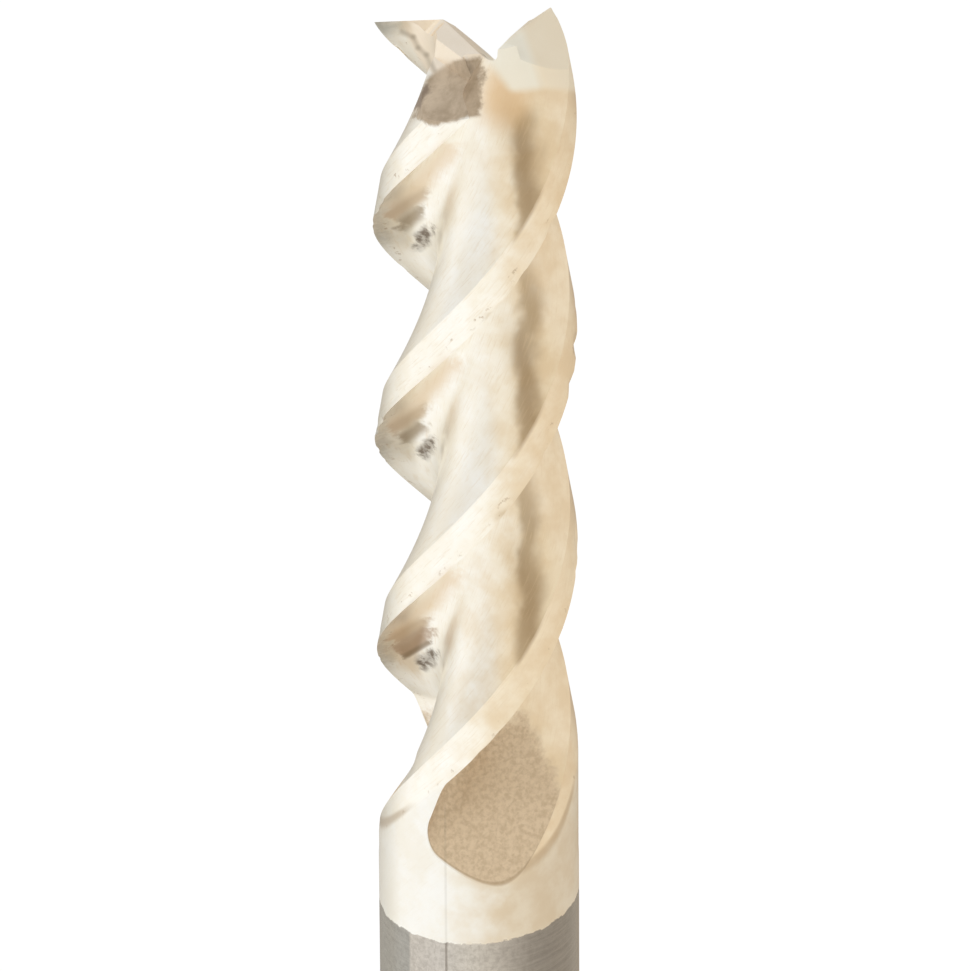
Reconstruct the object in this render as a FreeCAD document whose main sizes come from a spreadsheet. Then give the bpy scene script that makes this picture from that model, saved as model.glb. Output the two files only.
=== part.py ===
import FreeCAD, Part
import math
import os
import Sketcher
from FreeCAD import Vector

# Three-flute square end mill, ground from one round rod.
# The shank end stands on Z = 0 and the cutting end points along +Z.
# The reference tooth's end edge runs parallel to X, so the end cuts sit on the origin planes.

SIZES = {
    "tool_diameter": 9.96,
    "shank_diameter": 10.0,
    "overall_length": 95.0,
    "back_taper": 0.006,
    "shank_chamfer": 0.6,
    "teeth": 3,
    "helix_angle": 40.5,
    "radial_rake": 19.5,
    "core_radius": 1.76,
    "flute_root_radius": 1.48,
    "flute_back_radius": 4.6,
    "flute_length": 40.0,
    "runout_length": 6.7,
    "runout_swing": 68.0,
    "runout_flattening": 12.0,
    "runout_lift": 1.2,
    "land_angle": 22.4,
    "land_drop": 0.38,
    "land_radius": 4.9,
    "land_overlap": 0.4,
    "land_runout_swing": 13.0,
    "land_runout_lift": 0.2,
    "gash_vee": 65.0,
    "gash_root_radius": 0.3,
    "gash_reach": 3.6,
    "gash_angle": 50.0,
    "long_gash_reach": 6.6,
    "long_gash_angle": 40.0,
    "end_relief": 40.0,
    "corner_wear_width": 4.0,
    "corner_wear_drop": 0.35,
    "broken_edge_drop": 1.1,
    "broken_edge_relief": 26.0,
    "broken_edge_reach": 1.5,
    "cutter_overrun": 0.8,
}
RUNOUT_STATIONS = 9
RUNOUT_EASING = 1.3
SMALLEST_CUT = 0.01
PATTERN_TOLERANCE = 0.1

doc = FreeCAD.newDocument("SquareEndMill")
sheet = doc.addObject("Spreadsheet::Sheet", "Sizes")
for row, (alias, value) in enumerate(SIZES.items(), start=1):
    sheet.set(f"A{row}", alias)
    sheet.set(f"B{row}", str(value))
    sheet.setAlias(f"B{row}", alias)
doc.recompute()

# Expressions that several features share, written in terms of the sheet's cells
RADIUS = "(Sizes.tool_diameter / 2)"
LEAD = "(pi * Sizes.tool_diameter / tan(Sizes.helix_angle * 1deg))"
EDGE_OFFSET = f"({RADIUS} * sin(Sizes.radial_rake * 1deg))"
OUTER_RADIUS = f"({RADIUS} + Sizes.cutter_overrun)"
HEEL_RADIUS = f"({RADIUS} - Sizes.land_drop)"
NEXT_EDGE_BEARING = "(360 / Sizes.teeth - Sizes.radial_rake)"
HEEL_BEARING = f"({NEXT_EDGE_BEARING} - Sizes.land_angle)"
LAND_END_BEARING = f"({NEXT_EDGE_BEARING} + Sizes.land_overlap)"
START_HEIGHT = "(Sizes.overall_length + Sizes.cutter_overrun)"
HEEL = (HEEL_RADIUS, HEEL_BEARING)
LAND_END = (RADIUS, LAND_END_BEARING)


def size(alias):
    """A driving dimension, read from the sheet."""
    return float(sheet.get(alias))


def polar(radius, bearing):
    """A point of a sketch, from its distance to the axis and its bearing in degrees."""
    angle = math.radians(bearing)
    return Vector(radius * math.cos(angle), radius * math.sin(angle), 0)


def origin_feature(body, role):
    return next(item for item in body.Origin.OriginFeatures if item.Role == role)


def new_sketch(body, name, plane):
    sketch = body.newObject("Sketcher::SketchObject", name)
    sketch.AttachmentSupport = [(origin_feature(body, plane), "")]
    sketch.MapMode = "FlatFace"
    return sketch


def constrain(sketch, *arguments, expression=None):
    """Add a constraint, and bind its value to the sheet if it has one."""
    index = sketch.addConstraint(Sketcher.Constraint(*arguments))
    if expression:
        sketch.setExpression(f"Constraints[{index}]", expression)


def arc_angles(centre, start, end):
    """Start and end parameters of the arc that runs anticlockwise from start to end."""
    first = math.atan2(start.y - centre.y, start.x - centre.x)
    last = math.atan2(end.y - centre.y, end.x - centre.x)
    if last <= first:
        last += 2 * math.pi
    return first, last


def add_line(sketch, start, end, construction=False):
    return sketch.addGeometry(Part.LineSegment(start, end), construction)


def add_arc(sketch, centre, radius, start, end):
    first, last = arc_angles(centre, start, end)
    circle = Part.Circle(centre, Vector(0, 0, 1), radius)
    return sketch.addGeometry(Part.ArcOfCircle(circle, first, last))


def circle_centre(start, end, radius):
    """Centre of the circle that turns left from start to end."""
    chord = end - start
    rise = math.sqrt(radius ** 2 - (chord.Length / 2) ** 2)
    left = Vector(-chord.y, chord.x, 0).normalize()
    return (start + end) * 0.5 + left * rise


def flute_start_geometry(back):
    """Where the flute's outline starts out before its constraints are solved."""
    radius = size("tool_diameter") / 2
    root = size("flute_root_radius")
    edge_y = -radius * math.sin(math.radians(size("radial_rake")))
    root_y = edge_y + root
    root_centre = Vector(math.sqrt((size("core_radius") + root) ** 2 - root_y ** 2), root_y, 0)
    heel_bearing = 360 / size("teeth") - size("radial_rake") - size("land_angle")
    heel = polar(radius - size("land_drop"), heel_bearing)
    # The back arc touches the root arc from outside and passes through the heel
    reach = heel - root_centre
    spread = root + back
    cosine = (reach.Length ** 2 + spread ** 2 - back ** 2) / (2 * reach.Length * spread)
    bearing = math.atan2(reach.y, reach.x) + math.acos(cosine)
    toward_back = Vector(math.cos(bearing), math.sin(bearing), 0)
    return {
        "edge_y": edge_y,
        "root_centre": root_centre,
        "back_centre": root_centre + toward_back * spread,
        "join": root_centre + toward_back * root,
        "tangent": Vector(root_centre.x, edge_y, 0),
        "heel": heel,
        "heel_bearing": heel_bearing,
    }


def flute_section(body, name, flattening=1.0):
    """Outline of one flute across the axis: rake face, root, tooth back and the open side."""
    back_radius = size("flute_back_radius") * flattening
    start = flute_start_geometry(back_radius)
    sketch = new_sketch(body, name, "XY_Plane")
    outer = size("tool_diameter") / 2 + size("cutter_overrun")
    mouth = Vector(math.sqrt(outer ** 2 - start["edge_y"] ** 2), start["edge_y"], 0)
    lip = polar(outer, start["heel_bearing"])
    rake = add_line(sketch, mouth, start["tangent"])
    root = add_arc(sketch, start["root_centre"], size("flute_root_radius"), start["join"], start["tangent"])
    back = add_arc(sketch, start["back_centre"], back_radius, start["join"], start["heel"])
    heel = add_line(sketch, start["heel"], lip)
    open_side = add_arc(sketch, Vector(0, 0, 0), outer, mouth, lip)
    spoke = add_line(sketch, Vector(0, 0, 0), start["heel"], construction=True)
    constrain(sketch, "Horizontal", rake)
    constrain(sketch, "Coincident", rake, 1, open_side, 1)
    constrain(sketch, "Tangent", rake, 2, root, 2)
    constrain(sketch, "Tangent", root, 1, back, 1)
    constrain(sketch, "Coincident", back, 2, heel, 1)
    constrain(sketch, "Coincident", heel, 2, open_side, 2)
    constrain(sketch, "Coincident", open_side, 3, -1, 1)
    constrain(sketch, "Coincident", spoke, 1, -1, 1)
    constrain(sketch, "Coincident", spoke, 2, heel, 1)
    constrain(sketch, "Parallel", spoke, heel)
    constrain(sketch, "DistanceY", rake, 2, -1, 1, -start["edge_y"], expression=EDGE_OFFSET)
    constrain(sketch, "Radius", open_side, outer, expression=OUTER_RADIUS)
    constrain(sketch, "Radius", root, size("flute_root_radius"), expression="Sizes.flute_root_radius")
    constrain(sketch, "Radius", back, back_radius, expression=f"Sizes.flute_back_radius * {flattening}")
    constrain(sketch, "Distance", root, 3, -1, 1, start["root_centre"].Length,
              expression="Sizes.core_radius + Sizes.flute_root_radius")
    constrain(sketch, "Distance", spoke, start["heel"].Length, expression=HEEL_RADIUS)
    constrain(sketch, "Angle", spoke, math.radians(start["heel_bearing"]),
              expression=f"{HEEL_BEARING} * 1deg")
    return sketch


def land_section(body, name):
    """Outline of the relief behind one edge, from inside its own flute to just past the edge."""
    radius = size("tool_diameter") / 2
    outer = radius + size("cutter_overrun")
    land_end = 360 / size("teeth") - size("radial_rake") + size("land_overlap")
    heel_bearing = 360 / size("teeth") - size("radial_rake") - size("land_angle")
    entry_bearing = heel_bearing - size("land_angle") / 2
    heel = polar(radius - size("land_drop"), heel_bearing)
    rim = polar(radius, land_end)
    centre = circle_centre(heel, rim, size("land_radius"))
    toward = polar(1, entry_bearing)
    along = toward.dot(centre)
    inner = toward * (along + math.sqrt(along ** 2 - centre.Length ** 2 + size("land_radius") ** 2))
    inside = polar(outer, entry_bearing)
    outside = polar(outer, land_end)
    origin = Vector(0, 0, 0)
    sketch = new_sketch(body, name, "XY_Plane")
    relief = add_arc(sketch, centre, size("land_radius"), inner, rim)
    step = add_line(sketch, rim, outside)
    open_side = add_arc(sketch, origin, outer, inside, outside)
    entry = add_line(sketch, inside, inner)
    heel_spoke = add_line(sketch, origin, heel, construction=True)
    rim_spoke = add_line(sketch, origin, rim, construction=True)
    entry_spoke = add_line(sketch, origin, inner, construction=True)
    constrain(sketch, "Coincident", relief, 2, step, 1)
    constrain(sketch, "Coincident", step, 2, open_side, 2)
    constrain(sketch, "Coincident", open_side, 1, entry, 1)
    constrain(sketch, "Coincident", entry, 2, relief, 1)
    constrain(sketch, "Coincident", open_side, 3, -1, 1)
    for spoke in (heel_spoke, rim_spoke, entry_spoke):
        constrain(sketch, "Coincident", spoke, 1, -1, 1)
    constrain(sketch, "Coincident", rim_spoke, 2, step, 1)
    constrain(sketch, "Coincident", entry_spoke, 2, entry, 2)
    constrain(sketch, "Parallel", rim_spoke, step)
    constrain(sketch, "Parallel", entry_spoke, entry)
    constrain(sketch, "PointOnObject", heel_spoke, 2, relief)
    constrain(sketch, "Radius", relief, size("land_radius"), expression="Sizes.land_radius")
    constrain(sketch, "Radius", open_side, outer, expression=OUTER_RADIUS)
    constrain(sketch, "Distance", heel_spoke, heel.Length, expression=HEEL_RADIUS)
    constrain(sketch, "Distance", rim_spoke, radius, expression=RADIUS)
    constrain(sketch, "Angle", heel_spoke, math.radians(heel_bearing),
              expression=f"{HEEL_BEARING} * 1deg")
    constrain(sketch, "Angle", rim_spoke, math.radians(land_end),
              expression=f"{LAND_END_BEARING} * 1deg")
    constrain(sketch, "Angle", entry_spoke, math.radians(entry_bearing),
              expression=f"({HEEL_BEARING} - Sizes.land_angle / 2) * 1deg")
    return sketch


def helix_turn(height):
    """Bearing of the cross-section at a height, as an expression in degrees."""
    return f"(360 * ({height} - Sizes.overall_length) / {LEAD})"


def place_section(sketch, height, pivot, swing="0", lift="0"):
    """Turn a cross-section with the helix, then swing it about a pivot that moves outward."""
    radius, bearing = pivot
    turn = helix_turn(height)
    sketch.setExpression("AttachmentOffset.Base.z", height)
    sketch.setExpression("AttachmentOffset.Rotation.Angle", f"({turn} + {swing}) * 1deg")
    for axis, function in (("x", "cos"), ("y", "sin")):
        raised = f"({radius} + {lift}) * {function}(({bearing} + {turn}) * 1deg)"
        swung = f"{radius} * {function}(({bearing} + {turn} + {swing}) * 1deg)"
        sketch.setExpression(f"AttachmentOffset.Base.{axis}", f"{raised} - {swung}")


def helical_cut(body, name, sketch):
    """Sweep a cross-section down the helix from above the cutting end to where it runs out."""
    cut = body.newObject("PartDesign::SubtractiveHelix", name)
    cut.Profile = sketch
    cut.ReferenceAxis = (origin_feature(body, "Z_Axis"), "")
    cut.Mode = "pitch-height-angle"
    cut.Reversed = True
    cut.setExpression("Pitch", LEAD)
    cut.setExpression("Height", "Sizes.flute_length + Sizes.cutter_overrun")
    return cut


def runout(body, name, new_section, pivot, final_swing, final_lift):
    """The last stretch of a helical cut, where its section swings out of the rod about a pivot."""
    sketches = []
    for station in range(RUNOUT_STATIONS):
        share = station / (RUNOUT_STATIONS - 1)
        eased = share ** RUNOUT_EASING
        height = f"(Sizes.overall_length - Sizes.flute_length - {share} * Sizes.runout_length)"
        sketch = new_section(f"{name}Section{station}", eased)
        place_section(sketch, height, pivot, f"({eased} * {final_swing})", f"({eased} * {final_lift})")
        sketches.append(sketch)
    cut = body.newObject("PartDesign::SubtractiveLoft", name)
    cut.Profile = sketches[0]
    cut.Sections = sketches[1:]
    return cut


def blank(body):
    """The round rod, chamfered at its shank end, and a hair thinner and tapered over the cutting part."""
    shank = size("shank_diameter") / 2
    cutting = size("tool_diameter") / 2
    length = size("overall_length")
    chamfer = size("shank_chamfer")
    taper = size("back_taper")
    shoulder = length - size("flute_length") - size("runout_length")
    sketch = new_sketch(body, "RodHalfSection", "XZ_Plane")
    corners = [Vector(0, 0, 0), Vector(shank - chamfer, 0, 0), Vector(shank, chamfer, 0),
               Vector(shank, shoulder, 0), Vector(cutting - taper, shoulder, 0), Vector(cutting, length, 0),
               Vector(0, length, 0)]
    count = len(corners)
    base, bevel, shank_side, step, cutting_side, end, axis = [
        add_line(sketch, corners[index], corners[(index + 1) % count]) for index in range(count)]
    for index in range(count):
        constrain(sketch, "Coincident", index, 2, (index + 1) % count, 1)
    constrain(sketch, "Coincident", base, 1, -1, 1)
    for level in (base, step, end):
        constrain(sketch, "Horizontal", level)
    for upright in (shank_side, axis):
        constrain(sketch, "Vertical", upright)
    constrain(sketch, "DistanceX", -1, 1, bevel, 2, shank, expression="Sizes.shank_diameter / 2")
    constrain(sketch, "DistanceX", end, 2, end, 1, cutting, expression=RADIUS)
    constrain(sketch, "DistanceX", cutting_side, 1, cutting_side, 2, taper, expression="Sizes.back_taper")
    constrain(sketch, "DistanceY", axis, 2, axis, 1, length, expression="Sizes.overall_length")
    constrain(sketch, "DistanceY", base, 1, step, 1, shoulder,
              expression="Sizes.overall_length - Sizes.flute_length - Sizes.runout_length")
    constrain(sketch, "DistanceX", bevel, 1, bevel, 2, chamfer, expression="Sizes.shank_chamfer")
    constrain(sketch, "DistanceY", bevel, 1, bevel, 2, chamfer, expression="Sizes.shank_chamfer")
    rod = body.newObject("PartDesign::Revolution", "Rod")
    rod.Profile = sketch
    rod.ReferenceAxis = (sketch, ["V_Axis"])
    rod.Angle = 360
    return rod


def flute(body):
    """One helical flute, cut at full depth from the end down to its run-out."""
    sketch = flute_section(body, "FluteSection")
    place_section(sketch, START_HEIGHT, HEEL)
    return helical_cut(body, "Flute", sketch)


def flute_runout(body):
    """The flute's run-out, where the tooth's back also straightens on its way out."""
    def section(name, eased):
        return flute_section(body, name, 1 + eased * size("runout_flattening"))
    return runout(body, "FluteRunout", section, HEEL, "Sizes.runout_swing", "Sizes.land_drop * Sizes.runout_lift")


def land_relief(body):
    """The curved relief behind each edge, which leaves the edge sharp."""
    sketch = land_section(body, "LandSection")
    place_section(sketch, START_HEIGHT, LAND_END)
    return helical_cut(body, "LandRelief", sketch)


def land_runout(body):
    """The relief's run-out, which fades into the round rod beside the flute's."""
    def section(name, _eased):
        return land_section(body, name)
    return runout(body, "LandRunout", section, LAND_END, "Sizes.land_runout_swing",
                  "Sizes.land_drop * Sizes.land_runout_lift")


def turn_to_tooth(sketch, tooth):
    """Turn an upright sketch about the tool's axis, from the reference tooth to another one."""
    if tooth == 0:
        return
    sketch.AttachmentOffset = FreeCAD.Placement(
        Vector(0, 0, 0), FreeCAD.Rotation(Vector(0, 1, 0), 360 / size("teeth") * tooth))
    sketch.setExpression("AttachmentOffset.Rotation.Angle", f"360deg / Sizes.teeth * {tooth}")


def gash(body, name, reach_alias, angle_alias):
    """An inclined V along one rake face, which comes out of the end at its reach from the corner."""
    edge_y = -size("tool_diameter") / 2 * math.sin(math.radians(size("radial_rake")))
    reach = size("tool_diameter")
    slope = math.radians(90 - size("gash_vee"))
    half = math.radians(size("gash_vee") / 2)
    fillet = size("gash_root_radius")
    setback = fillet / math.tan(half)
    foot = Vector(edge_y, setback, 0)
    floor = Vector(edge_y + setback * math.cos(slope), setback * math.sin(slope), 0)
    centre = Vector(edge_y + fillet, setback, 0)
    far = Vector(edge_y + reach * math.cos(slope), reach * math.sin(slope), 0)
    top = Vector(edge_y, reach, 0)
    corner = Vector(far.x, reach, 0)
    vertex = Vector(edge_y, 0, 0)
    sketch = new_sketch(body, f"{name}Section", "YZ_Plane")
    root = add_arc(sketch, centre, fillet, foot, floor)
    wall = add_line(sketch, top, foot)
    ramp = add_line(sketch, floor, far)
    outside = add_line(sketch, far, corner)
    roof = add_line(sketch, corner, top)
    ray = add_line(sketch, vertex, floor, construction=True)
    drop = add_line(sketch, vertex, foot, construction=True)
    constrain(sketch, "Tangent", wall, 2, root, 1)
    constrain(sketch, "Tangent", root, 2, ramp, 1)
    constrain(sketch, "Coincident", ramp, 2, outside, 1)
    constrain(sketch, "Coincident", outside, 2, roof, 1)
    constrain(sketch, "Coincident", roof, 2, wall, 1)
    constrain(sketch, "Vertical", wall)
    constrain(sketch, "Vertical", outside)
    constrain(sketch, "Horizontal", roof)
    constrain(sketch, "Coincident", ray, 1, drop, 1)
    constrain(sketch, "Coincident", ray, 2, ramp, 1)
    constrain(sketch, "Coincident", drop, 2, wall, 2)
    constrain(sketch, "Vertical", drop)
    constrain(sketch, "Parallel", ray, ramp)
    constrain(sketch, "PointOnObject", drop, 1, -1)
    constrain(sketch, "Radius", root, fillet, expression="Sizes.gash_root_radius")
    constrain(sketch, "DistanceX", drop, 1, -1, 1, -edge_y, expression=EDGE_OFFSET)
    constrain(sketch, "Angle", ray, slope, expression="(90 - Sizes.gash_vee) * 1deg")
    constrain(sketch, "DistanceY", wall, 2, wall, 1, reach, expression="Sizes.tool_diameter")
    constrain(sketch, "DistanceX", roof, 2, roof, 1, reach, expression="Sizes.tool_diameter")
    corner_distance = f"{RADIUS} * cos(Sizes.radial_rake * 1deg)"
    centre_depth = f"tan(Sizes.{angle_alias} * 1deg) * (Sizes.{reach_alias} - {corner_distance})"
    sketch.AttachmentOffset = FreeCAD.Placement(
        Vector(0, 0, 0), FreeCAD.Rotation(Vector(1, 0, 0), size(angle_alias)))
    sketch.setExpression("AttachmentOffset.Base.y", f"Sizes.overall_length - {centre_depth}")
    sketch.setExpression("AttachmentOffset.Rotation.Angle", f"Sizes.{angle_alias} * 1deg")
    cut = body.newObject("PartDesign::Pocket", name)
    cut.Profile = sketch
    cut.SideType = "Symmetric"
    cut.setExpression("Length", "Sizes.flute_length")
    return cut


def end_clearance(body, name, angle_alias, tooth=0, drop="0", inward="0"):
    """The slope behind one end edge, from the tool's axis, or from inward of it, out past the corner."""
    radius = size("tool_diameter") / 2
    edge_y = -radius * math.sin(math.radians(size("radial_rake")))
    length = size("overall_length")
    fall = radius * math.tan(math.radians(size(angle_alias)))
    sketch = new_sketch(body, f"{name}Section", "YZ_Plane")
    edge = Vector(edge_y, length, 0)
    low = Vector(edge_y - radius, length - fall, 0)
    high = Vector(edge_y - radius, length + radius, 0)
    top = Vector(edge_y, length + radius, 0)
    corners = (edge, low, high, top)
    slope, outside, roof, wall = [
        add_line(sketch, corners[index], corners[(index + 1) % 4]) for index in range(4)]
    for index in range(4):
        constrain(sketch, "Coincident", index, 2, (index + 1) % 4, 1)
    constrain(sketch, "Vertical", outside)
    constrain(sketch, "Horizontal", roof)
    constrain(sketch, "Vertical", wall)
    constrain(sketch, "DistanceX", slope, 1, -1, 1, -edge_y, expression=EDGE_OFFSET)
    constrain(sketch, "DistanceY", -1, 1, slope, 1, length, expression=f"Sizes.overall_length - {drop}")
    constrain(sketch, "DistanceX", slope, 2, slope, 1, radius, expression=RADIUS)
    constrain(sketch, "DistanceY", slope, 2, slope, 1, fall,
              expression=f"{RADIUS} * tan(Sizes.{angle_alias} * 1deg)")
    constrain(sketch, "DistanceY", wall, 2, wall, 1, radius, expression=RADIUS)
    turn_to_tooth(sketch, tooth)
    cut = body.newObject("PartDesign::Pocket", name)
    cut.Profile = sketch
    cut.Reversed = True
    cut.setExpression("Length", OUTER_RADIUS)
    if inward != "0":
        cut.SideType = "Two sides"
        cut.setExpression("Length2", inward)
    return cut


def end_wear(body, name, tooth, width_alias, drop_alias):
    """The slope worn and chipped off one end edge, deepest at the tooth's corner."""
    radius = size("tool_diameter") / 2
    outer = radius + size("cutter_overrun")
    slope = size(drop_alias) / size(width_alias)
    start = radius * math.cos(math.radians(size("radial_rake"))) - size(width_alias)
    above = size("overall_length") + size("cutter_overrun")
    below = size("overall_length") - slope * (outer - start)
    tip = start - size("cutter_overrun") / slope
    sketch = new_sketch(body, f"{name}Section", "XZ_Plane")
    corners = [Vector(tip, above, 0), Vector(outer, below, 0), Vector(outer, above, 0)]
    worn, outside, roof = [add_line(sketch, corners[index], corners[(index + 1) % 3]) for index in range(3)]
    for index in range(3):
        constrain(sketch, "Coincident", index, 2, (index + 1) % 3, 1)
    constrain(sketch, "Vertical", outside)
    constrain(sketch, "Horizontal", roof)
    fall = f"(Sizes.{drop_alias} / Sizes.{width_alias})"
    begin = f"({RADIUS} * cos(Sizes.radial_rake * 1deg) - Sizes.{width_alias})"
    constrain(sketch, "DistanceX", -1, 1, outside, 1, outer, expression=OUTER_RADIUS)
    constrain(sketch, "DistanceY", -1, 1, roof, 1, above, expression=START_HEIGHT)
    constrain(sketch, "DistanceY", -1, 1, outside, 1, below,
              expression=f"Sizes.overall_length - {fall} * ({OUTER_RADIUS} - {begin})")
    constrain(sketch, "DistanceX", worn, 1, outside, 1, outer - tip,
              expression=f"{OUTER_RADIUS} - {begin} + Sizes.cutter_overrun / {fall}")
    turn_to_tooth(sketch, tooth)
    cut = body.newObject("PartDesign::Pocket", name)
    cut.Profile = sketch
    cut.Reversed = True
    cut.setExpression("Length", OUTER_RADIUS)
    return cut


def build_end_mill():
    body = doc.addObject("PartDesign::Body", "EndMill")
    body.Label = "end_mill"
    blank(body)
    cuts = [flute(body), flute_runout(body), land_relief(body), land_runout(body),
            gash(body, "Gash", "gash_reach", "gash_angle"),
            end_clearance(body, "EndClearance", "end_relief")]
    pattern = body.newObject("PartDesign::PolarPattern", "Teeth")
    pattern.Originals = cuts
    pattern.Axis = (origin_feature(body, "Z_Axis"), [""])
    pattern.Angle = 360
    pattern.setExpression("Occurrences", "Sizes.teeth")
    body.Tip = pattern
    gash(body, "LongGash", "long_gash_reach", "long_gash_angle")
    end_wear(body, "CornerWear", 0, "corner_wear_width", "corner_wear_drop")
    body.Tip = end_clearance(body, "BrokenEdge", "broken_edge_relief", 2, "Sizes.broken_edge_drop",
                             "Sizes.broken_edge_reach")
    return body


def check_objects():
    for item in doc.Objects:
        if "Invalid" in item.State or "Error" in item.State:
            raise RuntimeError(f"{item.Name} failed: {item.State}")


def check_cuts(body):
    """Each cut takes material away and leaves one valid solid."""
    before = None
    for item in body.Group:
        if not item.isDerivedFrom("PartDesign::Feature"):
            continue
        shape = item.Shape
        if shape.isNull() or not shape.isValid() or len(shape.Solids) != 1:
            raise RuntimeError(f"{item.Name} is not one valid solid")
        if before is not None and shape.Volume > before - SMALLEST_CUT:
            raise RuntimeError(f"{item.Name} removed nothing")
        before = shape.Volume


def check_pattern():
    """Every tooth is cut as deep as the reference tooth."""
    rod = doc.getObject("Rod").Shape.Volume
    one_tooth = rod - doc.getObject("EndClearance").Shape.Volume
    all_teeth = rod - doc.getObject("Teeth").Shape.Volume
    if abs(all_teeth / one_tooth - size("teeth")) > PATTERN_TOLERANCE:
        raise RuntimeError(f"the pattern cut {all_teeth / one_tooth:.2f} teeth")


end_mill = build_end_mill()
doc.recompute()
check_objects()
check_cuts(end_mill)
check_pattern()
os.makedirs("parts", exist_ok=True)
end_mill.Shape.exportStep(f"parts/{end_mill.Label}.step")
print(f"{end_mill.Label}: {end_mill.Shape.Volume:.1f} mm3, {len(end_mill.Shape.Faces)} faces")
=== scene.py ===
import math

import bpy
import numpy as np
from mathutils import Matrix, Vector, noise


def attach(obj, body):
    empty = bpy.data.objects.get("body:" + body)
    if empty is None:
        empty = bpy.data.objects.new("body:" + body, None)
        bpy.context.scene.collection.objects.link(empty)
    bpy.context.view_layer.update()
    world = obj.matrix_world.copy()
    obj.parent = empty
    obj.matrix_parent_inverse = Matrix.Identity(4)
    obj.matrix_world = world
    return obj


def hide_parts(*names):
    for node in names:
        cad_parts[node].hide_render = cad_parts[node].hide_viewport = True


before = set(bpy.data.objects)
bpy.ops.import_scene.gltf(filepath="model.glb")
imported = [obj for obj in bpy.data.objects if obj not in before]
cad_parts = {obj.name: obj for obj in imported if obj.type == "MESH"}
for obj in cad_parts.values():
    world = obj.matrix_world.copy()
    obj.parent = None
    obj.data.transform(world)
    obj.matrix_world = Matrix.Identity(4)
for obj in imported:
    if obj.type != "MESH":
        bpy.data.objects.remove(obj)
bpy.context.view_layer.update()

# Sizes in millimetres and degrees, the same as the solid's
LENGTH = 95.0
SHANK_RADIUS = 5.0
SHANK_CHAMFER = 0.6
RADIUS = 4.98
TEETH = 3
PITCH = 360.0 / TEETH
HELIX_ANGLE = 40.5
RAKE = 19.5
CORE_RADIUS = 1.76
ROOT_RADIUS = 1.48
BACK_RADIUS = 4.6
LAND_ANGLE = 22.4
LAND_DROP = 0.38
LAND_RADIUS = 4.9
FLUTE_LENGTH = 40.0
RUNOUT_LENGTH = 6.7
RUNOUT_SWING = 68.0
RUNOUT_FLATTENING = 12.0
RUNOUT_EASING = 1.3
RUNOUT_LIFT = LAND_DROP * 1.2
GASH_VEE = 65.0
GASH_ROOT = 0.3
GASH_REACH = 3.6
GASH_ANGLE = 50.0
LONG_GASH_REACH = 6.6
LONG_GASH_ANGLE = 40.0
END_RELIEF = 40.0
CORNER_WEAR_WIDTH = 4.0
CORNER_WEAR_DROP = 0.35
BROKEN_EDGE_DROP = 1.1
BROKEN_EDGE_RELIEF = 26.0
BROKEN_EDGE_REACH = 1.5
BROKEN_TOOTH = 2
OVERRUN = 0.8
CUTTER_REACH = 20.0
# Chips along the cutting edges: the radius where they start, and how large and deep they are
CHIP_START = 4.82
CHIP_SCALE = 0.95
CHIP_LEVEL = 0.18
CHIP_DEPTH = 0.42

LEAD = 2 * math.pi * RADIUS / math.tan(math.radians(HELIX_ANGLE))
EDGE_BEARING = -RAKE
NEXT_EDGE = PITCH - RAKE
HEEL_BEARING = NEXT_EDGE - LAND_ANGLE
HEEL_RADIUS = RADIUS - LAND_DROP
EDGE_Y = RADIUS * math.sin(math.radians(EDGE_BEARING))
CORNER_X = RADIUS * math.cos(math.radians(EDGE_BEARING))

# Mesh density: points along one flute and one land, and rings along the tool
VOID_POINTS = 46
LAND_POINTS = 22
GASH_ROOT_POINTS = 7
RING_STEP = 0.25
RUNOUT_RINGS = 70
RUNOUT_END_GAP = 0.002
SHANK_RINGS = 12
SHANK_RING_START = 0.5
CURVE_SAMPLES = 90
BISECTIONS = 40
SHARP_ANGLE = 24.0
MM = 0.001
ORIGIN = (0, 0, 0)
X_AXIS = (1, 0, 0)
Y_AXIS = (0, 1, 0)
Z_AXIS = (0, 0, 1)
BACKWARD = (0, -1, 0)

# Looks: the photograph's side of the tool, and where the coating ends
VIEW_AZIMUTH = math.radians(-63.8)
PHASE_START = 15.0
COATING_END = 45.7
COATING_TILT = 0.06
RUNOUT_POINT_HEIGHT = 57.0
RUNOUT_POINT_RIGHT = 2.15
RUNOUT_SLOPE = 2.0
MIDDLE_HEIGHT = 0.075
# The photograph's scale, for marks whose places were read from it in pixels
PIXELS_ACROSS = 20.5
PIXELS_DOWN = 17.28
AXIS_PIXEL = 475.0
END_PIXEL = 35.6
FRONT_DROP = 0.628

# The photograph's camera, in metres and pixels
VIEW_ELEVATION = math.radians(31.77)
VIEW_ROLL = math.radians(-0.381)
VIEW_DISTANCE = 0.75
VIEW_AIM_HEIGHT = 0.06955
PIXELS_PER_METRE = 20330
VIEW_CENTRE = (476.43, 483.26)
FRAME_SIZE = (970, 971)

# Pixels of the painted shade that comes back under the left tip of each tooth
TIP_PIXEL = 222
RAKE_SHADE_BAND = ((398, TIP_PIXEL - 18), (450, TIP_PIXEL - 74))
BROWN_STREAK = ((393, TIP_PIXEL - 14), (422, TIP_PIXEL - 31))
OLIVE_STREAK = ((404, TIP_PIXEL - 4), (419, TIP_PIXEL - 15))
LARGE_SHADE_SPOT = (422, TIP_PIXEL + 11)
SMALL_SHADE_SPOT = (427, TIP_PIXEL + 5)
GREY_TIP_SPOT = (378, TIP_PIXEL + 2)
# How far below the cutting end they start and end
TIP_RANGE = (6.0, 40.0)
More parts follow.
